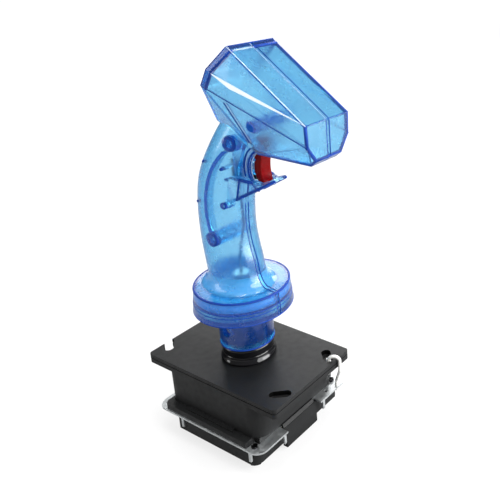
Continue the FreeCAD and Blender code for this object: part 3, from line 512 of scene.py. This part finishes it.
# Seam of the two halves in millimetres: half the gap of its double line, and the bar radii of its stretches
SEAM_HALF = 1.2
SEAM_TOP_R = {NEAR: 0.18, FAR: 0.22}
SEAM_FRONT_R = 0.3
SEAM_COLLAR_R = 0.34
# Its ends on the hood's top: in from the back corner and down, and in from the front corner
SEAM_BACK_IN = 0.5
SEAM_BACK_DROP = 0.6
SEAM_FRONT_IN = 0.3
# Its depth in the hood's front and the collar, and its start below the top of the hood's front
SEAM_SINK = 0.2
SEAM_FACE_DROP = 1.0
# Its stretch up the grip's front: lowest and highest point, steps, depth, and how far its foot lies lower
SEAM_GRIP = (53.0, 106.0)
SEAM_STEPS = 24
SEAM_GRIP_SINK = 0.15
SEAM_FOOT_DROP = 1.1
# An X in front of the grip, from which its surface is looked for
AHEAD_X = 60
# The collar's outside, lower and upper edge: X, height
COLLAR_EDGE = [(30.1, 37.4), (28.7, 51.4)]


def seam_lines(lines):
    """The double line of the handle's seam over the hood, down its front, the grip and the collar; over the
    hood's top its near line is a painted highlight.
    """
    deep = lines["deep"]
    back_x, _, back_z = HOOD["top_back"]
    front_x, _, front_z = HOOD["front_top"]
    _, _, chin_z = HOOD["chin"]
    face_x = front_x - SEAM_SINK
    sink = Vector((SEAM_GRIP_SINK * MM, 0, 0))
    for side, half, top in ((NEAR, "grip_right", lines["painted_highlight"]), (FAR, "grip_left", deep)):
        y = side * SEAM_HALF
        top_back = spot(back_x + SEAM_BACK_IN, y, back_z - SEAM_BACK_DROP)
        bar(top, top_back, spot(front_x - SEAM_FRONT_IN, y, front_z), SEAM_TOP_R[side] * MM)
        face_top = spot(face_x, y, front_z - SEAM_FACE_DROP)
        bar(deep, face_top, spot(face_x, y, chin_z), SEAM_FRONT_R * MM)
        collar_low, collar_high = (spot(x - SEAM_SINK, y, z) for x, z in COLLAR_EDGE)
        bar(deep, collar_low, collar_high, SEAM_COLLAR_R * MM)
        find = skin_finder(half, Vector((-1, 0, 0)))
        front = [find(spot(AHEAD_X, y, z)) - sink for z in evenly(*SEAM_GRIP, SEAM_STEPS)]
        foot = spot(COLLAR_EDGE[1][0] - SEAM_SINK, y, SEAM_GRIP[0] - SEAM_FOOT_DROP)
        strand(deep, [foot] + front, SEAM_FRONT_R * MM)


# Edges of the finger shelf: bar radius, then X, half width, height of each point
SHELF_LINES = [
    (0.85, [(14.5, 10.6, 112.6), (20.0, 10.1, 115.8), (38.3, 4.5, 126.2)]),
    (0.7, [(14.5, 10.6, 112.6), (17.6, 10.3, 125.0)]),
    (0.9, [(17.6, 10.3, 125.0), (25.0, 8.3, 124.2)]),
    (0.55, [(22.0, 9.0, 118.0), (23.0, 8.8, 124.4)]),
]
# Arcs round the trigger's back: radius, half width, start and end angle, bar radius, painted highlight or
# deep
CHEEK_ARCS = [
    (12.4, 5.0, 118, 245, 0.3, "painted_highlight"),
    (13.4, 6.2, 112, 240, 0.7, "deep"),
    (15.2, 6.3, 125, 185, 0.28, "painted_highlight"),
    (16.4, 6.3, 125, 195, 0.6, "deep"),
]
# Their centre: X, height
CHEEK_MID = (34.5, 131.0)
ARC_STEPS = 20


def trigger_lines(lines):
    """Edges of the finger shelf and the curved cheeks behind the trigger, with painted highlights along the
    cheeks.
    """
    mid_x, mid_z = CHEEK_MID
    for side in (NEAR, FAR):
        for radius, corners in SHELF_LINES:
            strand(lines["deep"], [spot(x, side * y, z) for x, y, z in corners], radius * MM)
        for r, half, start, end, radius, kind in CHEEK_ARCS:
            turns = [math.radians(angle) for angle in evenly(start, end, ARC_STEPS)]
            points = [spot(mid_x + r * math.cos(t), side * half, mid_z + r * math.sin(t)) for t in turns]
            strand(lines[kind], points, radius * MM)


# Features moulded inside the near half in millimetres: X, height above the plate
UPPER_BOSS = (13.6, 146.0)
LOWER_BOSS = (-4.6, 84.8)
BOSS_R = 4.5
BOSS_HOLE_R = 2.7
SOCKET = (4.5, 107.2)
SOCKET_R = 2.2
SOCKET_HOLE_R = 1.2
PADS = [(7.7, 130.7), (-7.0, 132.6), (-14.4, 106.9)]
PAD_R = 1.0
# Seat of the shaft's screw in the neck: X, Y, height
SHAFT_SEAT = (0.0, -14.3, 23.6)
SHAFT_SEAT_R = 3.7
SHAFT_HOLE_R = 2.5
# Rings on the near wall: depth, steps
RING_DEEP = 1.4
WALL_RING_STEPS = 40
# How deep the features start in the near wall, and a Y outside it, from which the wall is looked for
WALL_SINK = 0.25
OUTSIDE_Y = -60
# Post across the hood: X, height
HOOD_POST = (34.0, 159.5)
HOOD_POST_R = 3.2
HOOD_POST_HALF = 13.0
HOOD_POST_SIDES = 24
# Curved rib between the bosses: radius of its arc, X and height of the arc's middle, width, depth, steps
RIB_ARC_R = 54.0
RIB_X = -6.3
RIB_MID = 102.0
RIB_W = 1.8
RIB_DEEP = 1.2
RIB_STEPS = 32


def near_wall():
    """Finds the place just under the near half's outside, for an X and a height."""
    find = skin_finder("grip_right", Vector((0, 1, 0)))

    def at(x, z):
        return find(spot(x, OUTSIDE_Y, z)) + Vector((0, WALL_SINK * MM, 0))
    return at


def wall_ring(bm, centre, outer, inner):
    """Short tube that stands from a place on the wall inwards along Y."""
    corners = [(outer, 0), (outer, RING_DEEP), (inner, RING_DEEP), (inner, 0)]
    outline = [centre + Vector((r, deep, 0)) * MM for r, deep in corners]
    spin_ring(bm, outline, centre, axis=(0, 1, 0), steps=WALL_RING_STEPS)


def inner_marks(bm, wall):
    """Boss rings, socket, screw seat and pads, which show deep blue through the near wall."""
    wall_ring(bm, wall(*UPPER_BOSS), BOSS_R, BOSS_HOLE_R)
    wall_ring(bm, wall(*LOWER_BOSS), BOSS_R, BOSS_HOLE_R)
    wall_ring(bm, wall(*SOCKET), SOCKET_R, SOCKET_HOLE_R)
    wall_ring(bm, spot(*SHAFT_SEAT), SHAFT_SEAT_R, SHAFT_HOLE_R)
    for place in PADS:
        centre = wall(*place)
        bar(bm, centre, centre + Vector((0, PAD_R * MM, 0)), PAD_R * MM)


def shell_lines(wall):
    """Everything that shows as a deep blue line or a painted highlight line in the clear shell."""
    lines = {"deep": bmesh.new(), "painted_highlight": bmesh.new()}
    corners = {kind: sunk_corners(depth) for kind, (_, depth) in LINE.items()}
    hood_edges(lines, corners)
    hood_rim(lines, corners["rim"])
    hood_joint(lines)
    seam_lines(lines)
    trigger_lines(lines)
    inner_marks(lines["deep"], wall)
    for kind, bm in lines.items():
        bmesh.ops.recalc_face_normals(bm, faces=bm.faces)
        shell_piece(kind + "_shell_edges", bm, kind + "_edge")


def rib_section(wall, z):
    """The curved rib's four corners at a height."""
    run = math.sqrt(RIB_ARC_R ** 2 - (z - RIB_MID) ** 2)
    x = RIB_X + RIB_ARC_R - run
    half = RIB_W / 2 * RIB_ARC_R / run
    corners = ((-half, 0), (half, 0), (half, RIB_DEEP), (-half, RIB_DEEP))
    return [wall(x + dx, z) + Vector((0, deep * MM, 0)) for dx, deep in corners]


def curved_rib(wall):
    """The rib between the bosses, and the post across the hood."""
    low, high = LOWER_BOSS[1] + BOSS_R, UPPER_BOSS[1] - BOSS_R
    sections = [rib_section(wall, z) for z in evenly(low, high, RIB_STEPS)]
    bm = bmesh.new()
    foot = bm.faces.new([bm.verts.new(point) for point in sections[0]])
    end = foot
    for section in sections[1:]:
        grown = bmesh.ops.extrude_face_region(bm, geom=[end])["geom"]
        if end is not foot:
            bmesh.ops.delete(bm, geom=[end], context="FACES_ONLY")
        end = next(part for part in grown if isinstance(part, bmesh.types.BMFace))
        for vert, point in zip(end.verts, section):
            vert.co = point
    x, z = HOOD_POST
    bar(bm, spot(x, -HOOD_POST_HALF, z), spot(x, HOOD_POST_HALF, z), HOOD_POST_R * MM, HOOD_POST_SIDES)
    bmesh.ops.recalc_face_normals(bm, faces=bm.faces)
    shell_piece("curved_rib", bm, "rib")


# A strip of painted highlight along the hood's side crease: X, half width, height
HIGHLIGHT_STRIP = [(12.6, 19.4, 187.3), (26.0, 18.85, 179.8), (74.0, 17.2, 166.9)]
# How far it stands out, and its thickness
HIGHLIGHT_STRIP_PROUD = 0.08
HIGHLIGHT_STRIP_T = 0.2


def painted_highlight_strips():
    """Narrow strips of painted highlight along the hood's side creases."""
    bm = bmesh.new()
    for side in (NEAR, FAR):
        corners = [bm.verts.new(spot(x, side * (y + HIGHLIGHT_STRIP_PROUD), z)) for x, y, z in HIGHLIGHT_STRIP]
        grown = bmesh.ops.extrude_face_region(bm, geom=[bm.faces.new(corners)])["geom"]
        inner = [part for part in grown if isinstance(part, bmesh.types.BMVert)]
        bmesh.ops.translate(bm, vec=Vector((0, -side * HIGHLIGHT_STRIP_T * MM, 0)), verts=inner)
    bmesh.ops.recalc_face_normals(bm, faces=bm.faces)
    piece = shell_piece("painted_highlight_strips", bm, "painted_highlight_strip")
    piece.data.shade_flat()


# Hoops round the collar and the neck below it: radius, height, bar radius
HOOPS = [(28.4, 51.6, 0.75), (29.35, 44.4, 0.3), (29.6, 42.4, 0.3), (29.9, 37.1, 0.5), (16.4, 11.9, 0.55)]
HOOP_SIDES = 8
# Foot of the grip, milky blue with a painted glow where the plastic is thick: half length, half width,
# centre's X, height
FOOT = [
    (24.4, 21.2, -2.2, 51.6),
    (21.9, 18.5, -2.5, 53.1),
    (19.7, 16.3, -2.8, 55.7),
    (18.4, 15.2, -3.4, 60.1),
    (17.9, 14.7, -3.4, 60.1),
    (19.0, 15.7, -2.8, 55.4),
    (21.0, 17.7, -2.5, 52.6),
    (23.4, 20.2, -2.2, 51.2),
]
# Rings in the foot, the collar and the neck: painted glow in the first three, where the plastic is thick,
# and a dark sleeve of painted shade in the neck; finish, then radius and height of each corner
THICK_RINGS = {
    "milky_glow_floor": ("milky_glow", [(15.2, 53.0), (15.2, 53.4), (5.0, 53.4), (5.0, 53.0)]),
    "collar_glow_band": ("collar_glow_band", [(27.9, 45.6), (27.3, 50.4), (26.8, 50.4), (27.4, 45.6)]),
    "collar_top": ("milky_glow", [(26.7, 50.0), (26.7, 50.4), (19.5, 50.4), (19.5, 50.0)]),
    "neck_shade_sleeve": ("neck_shade", [(13.3, 14.0), (13.3, 35.8), (12.7, 35.8), (12.7, 14.0)]),
}


def collar_hoops():
    """Deep hoops at the collar's and the neck's edges."""
    corners = [2 * math.pi * k / HOOP_SIDES for k in range(HOOP_SIDES)]
    for k, (radius, height, bar_r) in enumerate(HOOPS):
        outline = [(radius + bar_r * math.cos(a), height + bar_r * math.sin(a)) for a in corners]
        shell_piece(f"collar_hoop_{k}", turned(outline), "deep_edge")


def milky_glow_foot():
    """Oval ring in the grip's flared foot, milky blue with a painted glow."""
    bm = bmesh.new()
    loops = []
    for half_x, half_y, x, z in FOOT:
        place = Matrix.Translation(spot(x, 0, z)) @ Matrix.Diagonal((half_x * MM, half_y * MM, 1, 1))
        oval = bmesh.ops.create_circle(bm, segments=RING_STEPS, radius=1.0, matrix=place)["verts"]
        loops.append(list(dict.fromkeys(edge for vert in oval for edge in vert.link_edges)))
    for first, second in zip(loops, loops[1:] + loops[:1]):
        bmesh.ops.bridge_loops(bm, edges=first + second)
    bmesh.ops.recalc_face_normals(bm, faces=bm.faces)
    shell_piece("milky_glow_foot", bm, "milky_glow")


# Dust boot outline in millimetres: radius, height above the plate
BOOT_LOW = [(15.9, 0.0), (16.6, 0.25), (17.05, 0.75), (17.2, 1.3), (17.05, 1.9), (16.65, 2.5), (16.25, 3.2),
            (15.98, 4.0), (15.85, 4.8), (15.8, 5.6)]
BOOT_HIGH = [(15.8, 5.6), (15.84, 6.5), (15.95, 7.5), (16.15, 8.5), (16.35, 9.3), (16.4, 9.9), (16.3, 10.5),
             (15.95, 10.85), (15.4, 11.0), (12.0, 11.0), (12.0, 17.6)]
BOOT_WALL = 1.3
# Heights given with the lower and the upper half of the boot
BOOT_BEND_LOW = (2.6, 5.6)
BOOT_BEND_HIGH = (5.6, 9.0)


def boot_part(name, outline, bodies, start, end):
    """One half of the boot, turned from its outline with a wall."""
    inner = [(r - BOOT_WALL, z) for r, z in reversed(outline)]
    piece = new_piece(name, turned(outline + inner), "black_gloss")
    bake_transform(piece)
    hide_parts("dust_boot")


def pressed_spring():
    """A copy of the trigger's spring, shown in its place and moving with the lever."""
    piece = new_piece("pressed_trigger_spring", merged_copy("trigger_spring"), "zinc_steel")
    piece.data.shade_smooth()
    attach(piece, "lever")
    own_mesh(piece)
    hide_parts("trigger_spring")


for node_name, node_edge_r in SOFT_EDGES.items():
    softened(node_name, node_edge_r)
near_half = near_wall()
curved_rib(near_half)
shell_lines(near_half)
painted_highlight_strips()
collar_hoops()
milky_glow_foot()
for ring_name, (ring_finish, ring_outline) in THICK_RINGS.items():
    shell_piece(ring_name, turned(ring_outline), ring_finish)
boot_part("boot_lower", BOOT_LOW, ("base", "cross_pin"), *BOOT_BEND_LOW)
boot_part("boot_upper", BOOT_HIGH, ("cross_pin", "lever"), *BOOT_BEND_HIGH)
pressed_spring()


def camera():
    data = bpy.data.cameras.new("photo_camera")
    data.sensor_width = SENSOR_MM
    data.lens = FOCAL_PX * SENSOR_MM / PHOTO_PX
    data.shift_x = (PHOTO_PX / 2 - CENTRE_PX[0]) / PHOTO_PX
    data.shift_y = (CENTRE_PX[1] - PHOTO_PX / 2) / PHOTO_PX
    data.clip_start = CAMERA_NEAR
    eye = bpy.data.objects.new("photo_camera", data)
    level = math.cos(CAMERA_PITCH)
    ahead = Vector((-math.sin(CAMERA_TURN) * level, math.cos(CAMERA_TURN) * level, math.sin(CAMERA_PITCH)))
    eye.rotation_mode = "QUATERNION"
    eye.rotation_quaternion = ahead.to_track_quat("-Z", "Y") @ Quaternion((0, 0, 1), CAMERA_ROLL)
    eye.location = CAMERA_SPOT
    bpy.context.scene.collection.objects.link(eye)
    bpy.context.scene.camera = eye


# Soft lamps in metres: place, aim, size, watts
HOOD_MID = (0.04, 0.0, PLATE_TOP + 0.16)
LAMPS = {
    "left_strip": ((-0.87, -0.90, 0.70), HOOD_MID, (0.35, 1.2), 5),
    "right_softbox": ((1.20, 0.30, 0.65), HOOD_MID, (1.3, 1.5), 34),
    "top_softbox": ((0.0, 0.15, 1.5), HOOD_MID, (0.7, 0.7), 16),
    "right_card": ((0.42, 0.20, 0.20), (0.10, 0.02, 0.0), (0.3, 0.2), 1.1),
    "back_card": ((-0.75, 1.25, 0.62), (0.0, 0.0, 0.03), (1.3, 0.55), 12),
}
WORLD_LIGHT = 0.19
FLOOR_HALF = 6.0
FLOOR_ROUGH = 0.9
# The floor's colour as it lights the object, and as it is seen
FLOOR_PALE = (0.36, 0.36, 0.36, 1)
FLOOR_SEEN = (0.22, 0.22, 0.22, 1)
# The seen floor's glow, and the distance in metres over which it grows
FLOOR_LIFT = (0.77, 1.0)
FLOOR_REACH = (0.5, 2.5)


def softbox(name, place, aim, size, watts):
    data = bpy.data.lights.new(name, "AREA")
    data.shape = "RECTANGLE"
    data.size, data.size_y = size
    data.energy = watts
    lamp = bpy.data.objects.new(name, data)
    lamp.location = place
    lamp.rotation_mode = "QUATERNION"
    lamp.rotation_quaternion = (Vector(aim) - Vector(place)).to_track_quat("-Z", "Y")
    bpy.context.scene.collection.objects.link(lamp)


def white_where_seen(tree, lit, seen):
    """Mix of a shader that lights the object with one that the camera sees, also through the shell."""
    path = tree.nodes.new("ShaderNodeLightPath")
    through = tree.nodes.new("ShaderNodeMath")
    through.operation = "MAXIMUM"
    tree.links.new(path.outputs["Is Camera Ray"], through.inputs[0])
    tree.links.new(path.outputs["Is Transmission Ray"], through.inputs[1])
    mix = tree.nodes.new("ShaderNodeMixShader")
    tree.links.new(through.outputs[0], mix.inputs["Fac"])
    tree.links.new(lit, mix.inputs[1])
    tree.links.new(seen, mix.inputs[2])
    return mix.outputs[0]


def white_world():
    world = bpy.data.worlds.new("studio")
    world.use_nodes = True
    tree = world.node_tree
    lit = tree.nodes["Background"]
    set_sockets(lit, {"Color": WHITE, "Strength": WORLD_LIGHT})
    seen = tree.nodes.new("ShaderNodeBackground")
    set_sockets(seen, {"Color": WHITE, "Strength": 1.0})
    mixed = white_where_seen(tree, lit.outputs[0], seen.outputs[0])
    tree.links.new(mixed, tree.nodes["World Output"].inputs["Surface"])
    bpy.context.scene.world = world


def floor_finish():
    """Pale matt floor that fades to white away from the object and keeps its shadow."""
    mat, tree, shader, place = new_material("pale_floor")
    set_sockets(shader, {"Base Color": FLOOR_PALE, "Roughness": FLOOR_ROUGH})
    matt = tree.nodes.new("ShaderNodeBsdfDiffuse")
    set_sockets(matt, {"Color": FLOOR_SEEN})
    away = tree.nodes.new("ShaderNodeVectorMath")
    away.operation = "LENGTH"
    tree.links.new(place, away.inputs[0])
    lift = remap(tree, away.outputs["Value"], FLOOR_LIFT, span=FLOOR_REACH)
    glow = tree.nodes.new("ShaderNodeEmission")
    tree.links.new(lift, glow.inputs["Strength"])
    lifted = tree.nodes.new("ShaderNodeAddShader")
    tree.links.new(matt.outputs[0], lifted.inputs[0])
    tree.links.new(glow.outputs[0], lifted.inputs[1])
    mixed = white_where_seen(tree, shader.outputs[0], lifted.outputs[0])
    tree.links.new(mixed, tree.nodes["Material Output"].inputs["Surface"])
    return mat


def studio_floor():
    bm = bmesh.new()
    bmesh.ops.create_grid(bm, x_segments=1, y_segments=1, size=FLOOR_HALF)
    mesh = bpy.data.meshes.new("studio_floor")
    bm.to_mesh(mesh)
    bm.free()
    mesh.materials.append(floor_finish())
    floor = bpy.data.objects.new("studio_floor", mesh)
    bpy.context.scene.collection.objects.link(floor)


camera()
white_world()
studio_floor()
for lamp_name, lamp_facts in LAMPS.items():
    softbox(lamp_name, *lamp_facts)
bpy.context.scene.view_settings.view_transform = "Standard"
